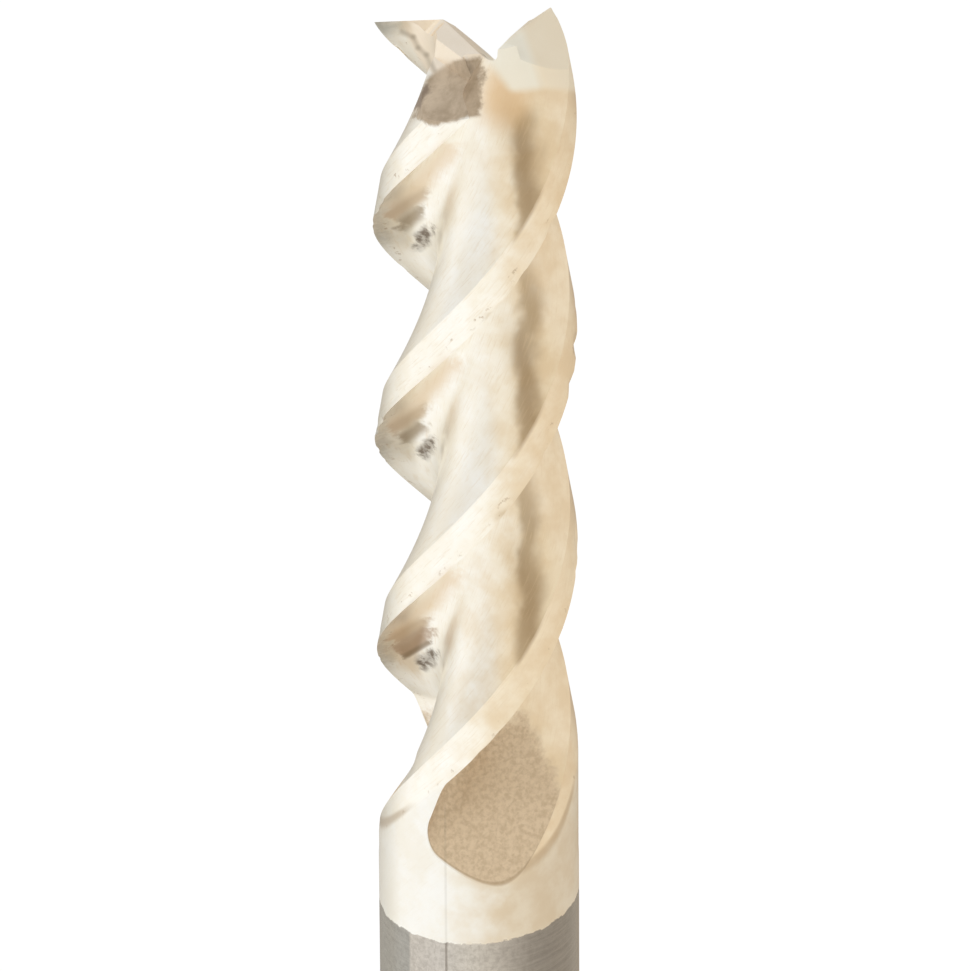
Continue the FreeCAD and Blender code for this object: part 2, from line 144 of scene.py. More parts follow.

# Pixels of the marks that show once: painted shade on the lowest tooth, painted light and shade on the
# cutting end, and the shank's seam
RAKE_SHADE_PATCH = ((399, 641), (421, 628))
RAKE_SHADE_RIM = ((398, 651), (428, 634))
HOLLOW = (504, 99)
LIT_TAN_FACET = [(520, 36), (556, 0), (590, 60), (580, 90), (543, 88)]
LIT_PALE_FACET = [(500, 44), (524, 30), (543, 88), (512, 92), (490, 62)]
LIT_LEFT_WALL = [(400, 14), (448, 14), (480, 42), (486, 58), (440, 80), (424, 62)]
LEFT_CORNER = (380, 26)
SHADE_LINE = [(404, 30), (415, 35), (420, 45), (428, 52), (436, 70)]
BROKEN_FACE_AND_SHADE = [(412, 108), (430, 76), (454, 61), (484, 56), (484, 114), (468, 119), (448, 124),
               (430, 125), (416, 119)]
DARK_EDGE = ((417, 106), (428, 88))
SEAM = ((441, 800), (441, 2000))


def polar(radius, bearing):
    angle = np.radians(bearing)
    return np.stack([radius * np.cos(angle), radius * np.sin(angle)], axis=-1)


def bearings(points):
    return np.degrees(np.arctan2(points[:, 1], points[:, 0]))


def arc(centre, radius, start, end, clockwise):
    """Points of an arc between two points on its circle."""
    first = math.atan2(*(start - centre)[::-1])
    last = math.atan2(*(end - centre)[::-1])
    full = 2 * math.pi
    sweep = -((first - last) % full) if clockwise else (last - first) % full
    angle = first + sweep * np.linspace(0, 1, CURVE_SAMPLES)
    return centre + radius * np.stack([np.cos(angle), np.sin(angle)], axis=1)


def flute_outline(back_radius):
    """One flute across the axis, from the cutting edge over the root to the next land's heel."""
    root_y = EDGE_Y + ROOT_RADIUS
    root_centre = np.array([math.sqrt((CORE_RADIUS + ROOT_RADIUS) ** 2 - root_y ** 2), root_y])
    heel = polar(HEEL_RADIUS, HEEL_BEARING)
    reach = heel - root_centre
    distance = np.hypot(*reach)
    spread = ROOT_RADIUS + back_radius
    cosine = (distance ** 2 + spread ** 2 - back_radius ** 2) / (2 * distance * spread)
    bearing = math.atan2(reach[1], reach[0]) + math.acos(cosine)
    toward = np.array([math.cos(bearing), math.sin(bearing)])
    join = root_centre + toward * ROOT_RADIUS
    tangent = np.array([root_centre[0], EDGE_Y])
    edge = np.array([CORNER_X, EDGE_Y])
    rake = edge + (tangent - edge) * np.linspace(0, 1, CURVE_SAMPLES)[:, None]
    root = arc(root_centre, ROOT_RADIUS, tangent, join, clockwise=True)
    back = arc(root_centre + toward * spread, back_radius, join, heel, clockwise=False)
    return np.concatenate([rake, root[1:], back[1:]])


def swing_out(points, eased):
    """Turn the flute's outline about its heel, which lifts to the rod's surface."""
    angle = math.radians(RUNOUT_SWING * eased)
    heel = polar(HEEL_RADIUS, HEEL_BEARING)
    spin = np.array([[math.cos(angle), -math.sin(angle)], [math.sin(angle), math.cos(angle)]])
    return (points - heel) @ spin.T + heel * (1 + RUNOUT_LIFT * eased / HEEL_RADIUS)


def clip_to_rod(points):
    """The stretch of a curve inside the rod, with its ends on the rod's surface."""
    depth = RADIUS - np.hypot(points[:, 0], points[:, 1])
    inside = np.nonzero(depth > 1e-7)[0]
    if len(inside) < 2:
        return None
    first, last = inside[0], inside[-1]
    kept = [points[first:last + 1]]
    if first > 0:
        share = depth[first] / (depth[first] - depth[first - 1])
        kept.insert(0, (points[first] + (points[first - 1] - points[first]) * share)[None])
    if last + 1 < len(points):
        share = depth[last] / (depth[last] - depth[last + 1])
        kept.append((points[last] + (points[last + 1] - points[last]) * share)[None])
    return np.concatenate(kept)


def resample(points, count):
    """Evenly spaced points along a curve, both ends kept."""
    steps = np.hypot(*np.diff(points, axis=0).T)
    along = np.concatenate([[0], np.cumsum(steps)])
    where = np.linspace(0, along[-1], count)
    return np.stack([np.interp(where, along, points[:, axis]) for axis in (0, 1)], axis=1)


def relief_radius(bearing):
    """Radius of the relieved land, from its heel to the cutting edge."""
    heel = polar(HEEL_RADIUS, HEEL_BEARING)
    edge = polar(RADIUS, NEXT_EDGE)
    chord = edge - heel
    rise = math.sqrt(LAND_RADIUS ** 2 - (chord @ chord) / 4)
    left = np.array([-chord[1], chord[0]]) / np.hypot(*chord)
    centre = (heel + edge) / 2 + left * rise
    along = polar(1.0, bearing) @ centre
    return along + np.sqrt(along ** 2 - centre @ centre + LAND_RADIUS ** 2)


def land_points(start, end, eased):
    """The land and what is left of the rod, from one flute's end to the next one's start."""
    bearing = np.linspace(start, end, LAND_POINTS + 2)[1:-1]
    relief = relief_radius(np.minimum(bearing, NEXT_EDGE))
    fade = min(1.0, eased * RUNOUT_LIFT / LAND_DROP)
    radius = np.where(bearing < NEXT_EDGE, relief + (RADIUS - relief) * fade, RADIUS)
    return polar(np.minimum(radius, RADIUS), bearing)


def tooth_ring(eased):
    """Points of one flute and the land after it, or None once the flute has run out."""
    outline = flute_outline(BACK_RADIUS * (1 + RUNOUT_FLATTENING * eased))
    if eased == 0:
        void = outline
    else:
        void = clip_to_rod(swing_out(outline, eased))
        if void is None:
            return None
    ends = bearings(void[[0, -1]])
    return np.concatenate([resample(void, VOID_POINTS), land_points(ends[1], ends[0] + PITCH, eased)])


def full_ring(tooth, turn):
    """The tooth's points repeated round the axis, then turned with the helix."""
    rings = []
    for index in range(TEETH):
        angle = math.radians(turn + PITCH * index)
        spin = np.array([[math.cos(angle), math.sin(angle)], [-math.sin(angle), math.cos(angle)]])
        rings.append(tooth @ spin)
    return np.concatenate(rings)


def closing_share():
    """How far down the run-out the flute leaves the rod."""
    low, high = 0.5, 1.0
    for _ in range(BISECTIONS):
        middle = (low + high) / 2
        if tooth_ring(middle ** RUNOUT_EASING) is None:
            high = middle
        else:
            low = middle
    return low


def helix_turn(height):
    return 360 * (height - LENGTH) / LEAD


def tool_rings():
    """(height, points) of every ring, from the cutting end down to the shank's end."""
    rings = []
    for height in np.linspace(LENGTH, LENGTH - FLUTE_LENGTH, round(FLUTE_LENGTH / RING_STEP) + 1):
        rings.append((height, full_ring(tooth_ring(0), helix_turn(height))))
    last_share = closing_share()
    for step in range(1, RUNOUT_RINGS + 1):
        share = last_share * (1 - (1 - step / RUNOUT_RINGS) ** 2)
        height = LENGTH - FLUTE_LENGTH - share * RUNOUT_LENGTH
        rings.append((height, full_ring(tooth_ring(share ** RUNOUT_EASING), helix_turn(height))))
    height, last = rings[-1]
    outward = last / np.hypot(last[:, 0], last[:, 1])[:, None]
    rod_end = LENGTH - FLUTE_LENGTH - RUNOUT_LENGTH
    rings.append((height - RUNOUT_END_GAP, outward * RADIUS))
    rings.append((rod_end, outward * RADIUS))
    for level in np.linspace(rod_end - SHANK_RING_START, SHANK_CHAMFER, SHANK_RINGS):
        rings.append((level, outward * SHANK_RADIUS))
    rings.append((0.0, outward * (SHANK_RADIUS - SHANK_CHAMFER)))
    return rings


def ring_mesh(name, rings):
    """A closed mesh over a stack of rings with the same number of points."""
    count = len(rings[0][1])
    vertices = [(x * MM, y * MM, height * MM) for height, ring in rings for x, y in ring]
    faces = [tuple(range(count))]
    for row in range(len(rings) - 1):
        above = row * count
        below = above + count
        for index in range(count):
            after = (index + 1) % count
            faces.append((above + index, below + index, below + after, above + after))
    bottom = (len(rings) - 1) * count
    faces.append(tuple(bottom + index for index in reversed(range(count))))
    mesh = bpy.data.meshes.new(name)
    mesh.from_pydata(vertices, [], faces)
    mesh.update()
    return mesh


def prism(name, profile, origin, across, up, along, start, end):
    """A cutter: a flat profile, placed by its two axes and drawn out along a third."""
    ends = []
    for distance in (start, end):
        for u, v in profile:
            point = Vector(origin) + Vector(across) * u + Vector(up) * v + Vector(along) * distance
            ends.append(point * MM)
    count = len(profile)
    faces = [tuple(reversed(range(count))), tuple(range(count, 2 * count))]
    for index in range(count):
        after = (index + 1) % count
        faces.append((index, after, count + after, count + index))
    if Vector(across).cross(Vector(up)).dot(Vector(along)) * profile_turn(profile) < 0:
        faces = [tuple(reversed(face)) for face in faces]
    mesh = bpy.data.meshes.new(name)
    mesh.from_pydata([tuple(point) for point in ends], [], faces)
    mesh.update()
    return mesh


def profile_turn(profile):
    """Twice the area of a flat profile, positive when it runs anticlockwise."""
    following = profile[1:] + profile[:1]
    return sum(u * b - v * a for (u, v), (a, b) in zip(profile, following))


def turned(mesh, tooth):
    """The same cutter at another tooth."""
    copy = mesh.copy()
    copy.transform(Matrix.Rotation(math.radians(PITCH * tooth), 4, "Z"))
    return copy


def gash_cutter(name, reach, angle):
    """The inclined V along one rake face."""
    tilt = math.radians(angle)
    slope = math.radians(90 - GASH_VEE)
    setback = GASH_ROOT / math.tan(math.radians(GASH_VEE / 2))
    centre = np.array([EDGE_Y + GASH_ROOT, setback])
    floor = np.array([EDGE_Y + setback * math.cos(slope), setback * math.sin(slope)])
    first = math.pi
    last = math.atan2(*(floor - centre)[::-1]) % (2 * math.pi)
    angles = np.linspace(first, last, GASH_ROOT_POINTS)
    root = [centre + GASH_ROOT * np.array([math.cos(a), math.sin(a)]) for a in angles]
    width = 2 * RADIUS
    far = np.array([EDGE_Y + width * math.cos(slope), width * math.sin(slope)])
    profile = [(EDGE_Y, width), (EDGE_Y, setback)] + [tuple(p) for p in root[1:-1]]
    profile += [tuple(floor), tuple(far), (far[0], width)]
    depth = math.tan(tilt) * (reach - CORNER_X)
    up = (math.sin(tilt), 0, math.cos(tilt))
    along = (math.cos(tilt), 0, -math.sin(tilt))
    origin = (0, 0, LENGTH - depth)
    return prism(name, profile, origin, Y_AXIS, up, along, -CUTTER_REACH, CUTTER_REACH)


def clearance_cutter(name, relief, drop, inward):
    """The slope behind one end edge."""
    fall = RADIUS * math.tan(math.radians(relief))
    top = LENGTH + RADIUS
    behind = EDGE_Y - RADIUS
    profile = [(EDGE_Y, LENGTH - drop), (EDGE_Y, top), (behind, top), (behind, LENGTH - drop - fall)]
    return prism(name, profile, ORIGIN, Y_AXIS, Z_AXIS, X_AXIS, -inward, RADIUS + OVERRUN)


def wear_cutter(name):
    """The slope worn off the reference tooth's end edge."""
    slope = CORNER_WEAR_DROP / CORNER_WEAR_WIDTH
    outer = RADIUS + OVERRUN
    start = CORNER_X - CORNER_WEAR_WIDTH
    profile = [(start - OVERRUN / slope, LENGTH + OVERRUN), (outer, LENGTH - slope * (outer - start)),
               (outer, LENGTH + OVERRUN)]
    return prism(name, profile, ORIGIN, X_AXIS, Z_AXIS, BACKWARD, 0, outer)


def new_object(name, mesh):
    item = bpy.data.objects.new(name, mesh)
    bpy.context.scene.collection.objects.link(item)
    return item


def cut(target, meshes):
    """Take the cutters away from the target, and keep only its final mesh."""
    helpers = []
    for index, mesh in enumerate(meshes):
        helper = new_object(f"cutter_{index}", mesh)
        helpers.append(helper)
        modifier = target.modifiers.new(f"cut_{index}", "BOOLEAN")
        modifier.operation = "DIFFERENCE"
        modifier.solver = "MANIFOLD"
        modifier.object = helper
    bpy.context.view_layer.update()
    evaluated = target.evaluated_get(bpy.context.evaluated_depsgraph_get())
    final = bpy.data.meshes.new_from_object(evaluated)
    target.modifiers.clear()
    target.data = final
    for helper in helpers:
        bpy.data.objects.remove(helper)


def smooth_by_angle(mesh, limit):
    """Smooth shading, with a sharp line wherever two faces meet at more than the limit."""
    normals = np.array([polygon.normal for polygon in mesh.polygons])
    edge_faces = [[] for _ in mesh.edges]
    for polygon in mesh.polygons:
        for loop in polygon.loop_indices:
            edge_faces[mesh.loops[loop].edge_index].append(polygon.index)
    cosine = math.cos(math.radians(limit))
    for edge, faces in zip(mesh.edges, edge_faces):
        edge.use_edge_sharp = len(faces) == 2 and float(normals[faces[0]] @ normals[faces[1]]) < cosine
    mesh.polygons.foreach_set("use_smooth", [True] * len(mesh.polygons))


def chip_edges(mesh):
    """Small chips along the cutting edges, pressed into the mesh by noise that is the same each run."""
    for vertex in mesh.vertices:
        radius = math.hypot(vertex.co.x, vertex.co.y)
        edge_share = (radius / MM - CHIP_START) / (RADIUS - CHIP_START)
        if edge_share <= 0 or vertex.co.z / MM < LENGTH - FLUTE_LENGTH:
            continue
        depth = max(0.0, noise.noise(vertex.co / MM * CHIP_SCALE) - CHIP_LEVEL) * CHIP_DEPTH * edge_share
        vertex.co.xy *= 1 - depth * MM / radius


def build_tool():
    tool = new_object("end_mill_body", ring_mesh("end_mill_body", tool_rings()))
    gash = gash_cutter("gash", GASH_REACH, GASH_ANGLE)
    clearance = clearance_cutter("clearance", END_RELIEF, drop=0, inward=0)
    meshes = [turned(mesh, tooth) for mesh in (gash, clearance) for tooth in range(TEETH)]
    meshes.append(gash_cutter("long_gash", LONG_GASH_REACH, LONG_GASH_ANGLE))
    meshes.append(wear_cutter("corner_wear"))
    broken = clearance_cutter("broken_edge", BROKEN_EDGE_RELIEF, BROKEN_EDGE_DROP, BROKEN_EDGE_REACH)
    meshes.append(turned(broken, BROKEN_TOOTH))
    cut(tool, meshes)
    chip_edges(tool.data)
    smooth_by_angle(tool.data, SHARP_ANGLE)
    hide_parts("end_mill")
    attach(tool, "root")
    return tool


class Nodes:
    """A short way to write one material's node tree."""

    def __init__(self, tree):
        self.tree = tree
        tree.nodes.clear()

    def add(self, kind, **settings):
        node = self.tree.nodes.new(kind)
        for key, value in settings.items():
            setattr(node, key, value)
        return node

    def put(self, socket, value):
        """Set a socket to a number or colour, or link another socket to it."""
        if isinstance(value, bpy.types.NodeSocket):
            self.tree.links.new(value, socket)
        else:
            socket.default_value = value

    def math(self, operation, *values):
        node = self.add("ShaderNodeMath", operation=operation)
        for socket, value in zip(node.inputs, values):
            self.put(socket, value)
        return node.outputs[0]

    def times(self, *values):
        """The product of any number of values."""
        product = values[0]
        for value in values[1:]:
            product = self.math("MULTIPLY", product, value)
        return product

    def greatest(self, *values):
        largest = values[0]
        for value in values[1:]:
            largest = self.math("MAXIMUM", largest, value)
        return largest

    def step(self, value, low, high, out_low=0.0, out_high=1.0):
        """A soft step from one value to another, held at its ends."""
        node = self.add("ShaderNodeMapRange", interpolation_type="SMOOTHSTEP")
        for socket, number in zip(node.inputs, (value, low, high, out_low, out_high)):
            self.put(socket, number)
        return node.outputs[0]

    def within(self, value, low, high, soft):
        """1 between two limits, falling softly to 0 outside them."""
        above = self.step(value, low - soft, low + soft)
        below = self.step(value, high + soft, high - soft)
        return self.times(above, below)

    def mix(self, share, first, second):
        """From the first colour towards the second, by the share."""
        node = self.add("ShaderNodeMix", data_type="RGBA", blend_type="MIX")
        self.put(node.inputs[0], share)
        self.put(node.inputs[6], first)
        self.put(node.inputs[7], second)
        return node.outputs[2]

    def noise(self, vector, scale, detail=3.0, roughness=0.5, distortion=0.0):
        node = self.add("ShaderNodeTexNoise")
        self.put(node.inputs["Vector"], vector)
        node.inputs["Scale"].default_value = scale
        node.inputs["Detail"].default_value = detail
        node.inputs["Roughness"].default_value = roughness
        node.inputs["Distortion"].default_value = distortion
        return node.outputs[0]

    def combine(self, x, y, z):
        node = self.add("ShaderNodeCombineXYZ")
        for socket, value in zip(node.inputs, (x, y, z)):
            self.put(socket, value)
        return node.outputs[0]


def rgb(red, green, blue):
    """A colour written as 0 to 255 on screen, as the shader wants it."""
    def linear(value):
        share = value / 255
        return share / 12.92 if share <= 0.04045 else ((share + 0.055) / 1.055) ** 2.4
    return (linear(red), linear(green), linear(blue), 1.0)


# Colours that vary with noise, each as a darker and a lighter one
CREAM = (rgb(251, 246, 233), rgb(255, 253, 246))
# The tan pair is painted shade on the cream coating
SHADE_TAN = (rgb(230, 209, 176), rgb(241, 226, 199))
MOTTLED_TAN = (rgb(206, 184, 153), rgb(224, 203, 173))
BROKEN_AND_SHADE_BROWN = (rgb(166, 145, 118), rgb(204, 184, 158))
# Painted reflection, painted shade in spots and streaks, and lines and nicks on the coating
PAINTED_REFLECTION_BROWN = rgb(176, 154, 123)
RIM_SHADE_GREY = rgb(224, 220, 208)
GRINDING_TAN = rgb(224, 205, 174)
# Painted shade on the rake faces under the cutting edges, in the next four
RAKE_SHADE_TAN = rgb(230, 206, 175)
STREAK_BROWN = rgb(202, 181, 155)
STREAK_OLIVE = rgb(170, 153, 129)
SHADE_SPOT_BROWN = rgb(112, 97, 80)
TIP_GREY = rgb(190, 184, 170)
# Painted shade on the lowest tooth's rake face
RAKE_SHADE_BROWN = rgb(190, 167, 144)
RAKE_SHADE_RIM_BROWN = rgb(150, 132, 110)
NICK_BROWN = rgb(178, 154, 124)
OUTLINE_BROWN = rgb(176, 152, 122)
SEAM_BROWN = rgb(110, 100, 88)
# The cutting end, with painted shade and painted light on its faces
HOLLOW_SHADE_TAN = rgb(227, 194, 149)
LIT_FACET_TAN = rgb(255, 242, 216)
LIT_FACET_CREAM = rgb(255, 251, 235)
LIT_WALL_CREAM = rgb(250, 235, 214)
CORNER_GREY = rgb(204, 204, 195)
SHADE_LINE_BROWN = rgb(152, 138, 116)
EDGE_BROWN = rgb(126, 108, 92)
# The bare ground steel from the photographed side's left to its right, with painted shade darker at both, and
# its grain
STEEL_LEFT_SHADE = rgb(165, 163, 156)
STEEL_MIDDLE = rgb(203, 196, 186)
STEEL_RIGHT_SHADE = rgb(140, 135, 129)
STEEL_GRAIN = rgb(122, 116, 108)
STEEL_RINGS = rgb(228, 222, 212)


class Place:
    """Where a point of the tool is, in millimetres and degrees."""

    def __init__(self, nodes):
        split = nodes.add("ShaderNodeSeparateXYZ")
        nodes.put(split.inputs[0], nodes.add("ShaderNodeTexCoord").outputs["Object"])
        x, y, z = (nodes.math("MULTIPLY", axis, 1 / MM) for axis in split.outputs)
        self.point = nodes.combine(x, y, z)
        self.height = z
        self.radius = nodes.math("SQRT", nodes.math("ADD", nodes.times(x, x), nodes.times(y, y)))
        self.bearing = nodes.math("MULTIPLY", nodes.math("ARCTAN2", y, x), 180 / math.pi)
        # Right and toward the viewer, from the side that the photograph shows
        cosine = math.cos(VIEW_AZIMUTH)
        sine = math.sin(VIEW_AZIMUTH)
        self.right = nodes.math("ADD", nodes.times(x, cosine), nodes.times(y, sine))
        self.front = nodes.math("SUBTRACT", nodes.times(x, sine), nodes.times(y, cosine))
        # Where the photograph sees a point, as a distance below the cutting end
        below_end = nodes.math("SUBTRACT", LENGTH, z)
        self.drop = nodes.math("ADD", below_end, nodes.times(self.front, FRONT_DROP))
        # Phase round the tooth: 0 at a cutting edge, then the flute, then the next tooth's land
        turn = nodes.math("MULTIPLY", nodes.math("SUBTRACT", z, LENGTH), 360 / LEAD)
        turned_back = nodes.math("SUBTRACT", self.bearing, turn)
        shifted = nodes.math("ADD", turned_back, RAKE + PHASE_START)
        self.phase = nodes.math("SUBTRACT", nodes.math("FLOORED_MODULO", shifted, PITCH), PHASE_START)


def streaks(nodes, place):
    """Fine grinding lines that run along the helix, stretched noise in unrolled coordinates."""
    along = nodes.times(place.height, 0.35)
    across = nodes.times(place.phase, 0.22)
    unrolled = nodes.combine(across, along, place.radius)
    return nodes.noise(unrolled, scale=3.2, detail=5.0, roughness=0.62)


def from_pixel(x, y):
    """A pixel of the photograph, as millimetres right of the axis and below the cutting end."""
    return (x - AXIS_PIXEL) / PIXELS_ACROSS, (y - END_PIXEL) / PIXELS_DOWN


class Marks:
    """Marks laid on the photograph's side of the tool, with edges made ragged by noise.

    They show on surfaces down to a distance in front of the axis, which is negative behind it.
    """

    def __init__(self, nodes, place, drop=None, front=-0.2, share=1.0):
        self.nodes = nodes
        rough = nodes.noise(place.point, scale=1.1, detail=4.0, roughness=0.6)
        wobble = nodes.step(rough, 0.2, 0.8, -0.32, 0.32)
        self.right = place.right
        self.drop = place.drop if drop is None else drop
        self.ragged_right = nodes.math("ADD", self.right, wobble)
        self.ragged_drop = nodes.math("SUBTRACT", self.drop, nodes.times(wobble, 0.7))
        self.facing = nodes.times(nodes.step(place.front, front - 0.3, front + 0.3), share)

    def stroke(self, start, end, width, ragged=True, soft=0.5):
        """1 along a line between two pixels, falling to 0 about half its width in pixels away."""
        nodes = self.nodes
        x0, y0 = from_pixel(*start)
        x1, y1 = from_pixel(*end)
        across = self.ragged_right if ragged else self.right
        down = self.ragged_drop if ragged else self.drop
        dx = nodes.math("SUBTRACT", across, x0)
        dy = nodes.math("SUBTRACT", down, y0)
        length = (x1 - x0) ** 2 + (y1 - y0) ** 2
        along = nodes.math("ADD", nodes.times(dx, (x1 - x0) / length), nodes.times(dy, (y1 - y0) / length))
        along = nodes.math("MINIMUM", nodes.math("MAXIMUM", along, 0.0), 1.0)
        off_x = nodes.math("SUBTRACT", dx, nodes.times(along, x1 - x0))
        off_y = nodes.math("SUBTRACT", dy, nodes.times(along, y1 - y0))
        squares = nodes.math("ADD", nodes.times(off_x, off_x), nodes.times(off_y, off_y))
        distance = nodes.math("SQRT", squares)
        half = width / 2 / PIXELS_ACROSS
        return nodes.times(nodes.step(distance, half * (1 + soft), half * (1 - soft)), self.facing)

    def below(self, start, end, soft, ragged=True):
        """1 on the right-hand side of a line through two pixels, going from start to end."""
        nodes = self.nodes
        x0, y0 = from_pixel(*start)
        x1, y1 = from_pixel(*end)
        length = math.hypot(x1 - x0, y1 - y0)
        across = self.ragged_right if ragged else self.right
        down = self.ragged_drop if ragged else self.drop
        side = nodes.math("SUBTRACT", nodes.times(nodes.math("SUBTRACT", down, y0), (x1 - x0) / length),
                          nodes.times(nodes.math("SUBTRACT", across, x0), (y1 - y0) / length))
        return nodes.step(side, -soft, soft)

    def patch(self, pixels, soft, ragged=True):
        """1 inside a convex outline, given clockwise in pixels."""
        sides = [self.below(a, b, soft, ragged) for a, b in zip(pixels, pixels[1:] + pixels[:1])]
        return self.nodes.times(self.facing, *sides)

    def spot(self, centre, across, down, ragged=True):
        """A soft oval spot."""
        nodes = self.nodes
        x, y = from_pixel(*centre)
        right, below = (self.ragged_right, self.ragged_drop) if ragged else (self.right, self.drop)
        dx = nodes.times(nodes.math("SUBTRACT", right, x), PIXELS_ACROSS / across)
        dy = nodes.times(nodes.math("SUBTRACT", below, y), PIXELS_DOWN / down)
        distance = nodes.math("SQRT", nodes.math("ADD", nodes.times(dx, dx), nodes.times(dy, dy)))
        return nodes.times(nodes.step(distance, 1.0, 0.2), self.facing)


def coating_and_painted_shade(nodes, place):
    """Thin gold-tinted coating: cream on the left of the photographed side, with painted shade in tan on its
    right, lower down and on the flute backs, a painted dark reflection band and painted grey shade on the
    left rim.
    """
    cloud = nodes.step(nodes.noise(place.point, scale=0.55, detail=4.0, roughness=0.6), 0.35, 0.68)
    cream = nodes.mix(cloud, *CREAM)
    tan = nodes.mix(cloud, *SHADE_TAN)
    # Painted shade: the coating turns tan towards the photographed side's right and lower down, and a little
    # on the flute backs
    drift = nodes.step(nodes.noise(place.point, scale=0.7), 0.3, 0.7, -0.7, 0.7)
    side = nodes.math("ADD", place.right, drift)
    lower = nodes.step(place.height, 76.0, 57.0, 0.0, 1.6)
    painted_shade = nodes.step(nodes.math("ADD", side, lower), -0.3, 3.6)
    in_flute = nodes.step(place.radius, HEEL_RADIUS + 0.06, HEEL_RADIUS)
    back = nodes.times(nodes.step(place.radius, 2.8, 4.2), in_flute, 0.08)
    colour = nodes.mix(nodes.greatest(nodes.times(painted_shade, 0.9), back), cream, tan)
    # Painted reflection: a dark brown band down the flutes of the photographed side
    painted_reflection = painted_reflection_share(nodes, place, in_flute)
    colour = nodes.mix(nodes.times(painted_reflection, 0.78), colour, PAINTED_REFLECTION_BROWN)
    # Painted shade: greyer along the left rim of the photographed side
    left_rim_shade = nodes.step(place.right, -3.8, -4.8)
    colour = nodes.mix(nodes.times(left_rim_shade, 0.55), colour, RIM_SHADE_GREY)
    lines = nodes.step(streaks(nodes, place), 0.5, 0.72)
    strength = nodes.step(place.height, 53.0, 56.0, 0.08, 0.3)
    return nodes.mix(nodes.times(lines, strength), colour, GRINDING_TAN)


def painted_reflection_share(nodes, place, in_flute):
    """1 on the painted dark reflection band down the photographed side, which the lands cross."""
    sway = nodes.step(nodes.noise(place.point, scale=0.45), 0.3, 0.7, -0.25, 0.25)
    across = nodes.math("ADD", place.right, sway)
    band = nodes.times(nodes.step(across, 1.8, 2.4), nodes.step(across, 3.6, 2.6))
    stretch = nodes.times(nodes.step(place.height, 57.0, 61.0), nodes.step(place.drop, 3.6, 5.0))
    return nodes.times(band, stretch, in_flute, nodes.step(place.front, 0.0, 1.5))


def edge_shade_marks(nodes, place, colour):
    """Painted shade on the rake face under the cutting edge, at the same place on each tooth's left tip, and
    a grey spot at the tip.
    """
    first = from_pixel(0, TIP_PIXEL)[1]
    spacing = LEAD / TEETH
    shifted = nodes.math("ADD", place.drop, spacing / 2 - first)
    drop = nodes.math("ADD", nodes.math("FLOORED_MODULO", shifted, spacing), first - spacing / 2)
    marks = Marks(nodes, place, drop, front=-2.6, share=nodes.within(place.drop, *TIP_RANGE, 0.2))
    # Painted shade under the edge: a tan band, brown and olive streaks and dark spots
    shade_band = marks.stroke(*RAKE_SHADE_BAND, width=20, soft=0.95)
    colour = nodes.mix(nodes.times(shade_band, 0.6), colour, RAKE_SHADE_TAN)
    brown = marks.stroke(*BROWN_STREAK, width=12, soft=0.8)
    colour = nodes.mix(nodes.times(brown, 0.75), colour, STREAK_BROWN)
    olive = marks.stroke(*OLIVE_STREAK, width=15, soft=0.8)
    colour = nodes.mix(nodes.times(olive, 0.85), colour, STREAK_OLIVE)
    specks = nodes.step(nodes.noise(place.point, scale=2.4, roughness=0.65), 0.36, 0.6)
    shade_spots = nodes.greatest(marks.spot(LARGE_SHADE_SPOT, 12, 13), marks.spot(SMALL_SHADE_SPOT, 9, 12))
    colour = nodes.mix(nodes.times(shade_spots, nodes.step(specks, 0.0, 1.0, 0.55, 0.95)), colour, SHADE_SPOT_BROWN)
    # A grey spot at the left tip, broken up by the specks
    edge_share = nodes.times(marks.spot(GREY_TIP_SPOT, 16, 44), nodes.step(specks, 0.0, 1.0, 0.15, 0.4))
    return nodes.mix(edge_share, colour, TIP_GREY)


def tooth_shade_and_wear(nodes, place, colour):
    """Painted shade on the lowest tooth's rake face, a broad patch with a darker lower rim, and small nicks
    along every edge.
    """
    lowest = Marks(nodes, place, front=-2.6)
    # Painted shade: a broad patch on the rake face and a darker rim below it
    rake_shade = lowest.stroke(*RAKE_SHADE_PATCH, width=20, soft=0.4)
    colour = nodes.mix(nodes.times(rake_shade, 0.8), colour, RAKE_SHADE_BROWN)
    rim = lowest.stroke(*RAKE_SHADE_RIM, width=6, soft=0.8)
    colour = nodes.mix(nodes.times(rim, 0.8), colour, RAKE_SHADE_RIM_BROWN)
    nicks = nodes.step(nodes.noise(place.point, scale=1.7, roughness=0.7), 0.6, 0.7)
    beside_edge = nodes.within(place.phase, -8.0, 0.5, 0.5)
    near_rim = nodes.within(place.radius, 4.1, 4.94, 0.04)
    return nodes.mix(nodes.times(nicks, beside_edge, near_rim, 0.55), colour, NICK_BROWN)


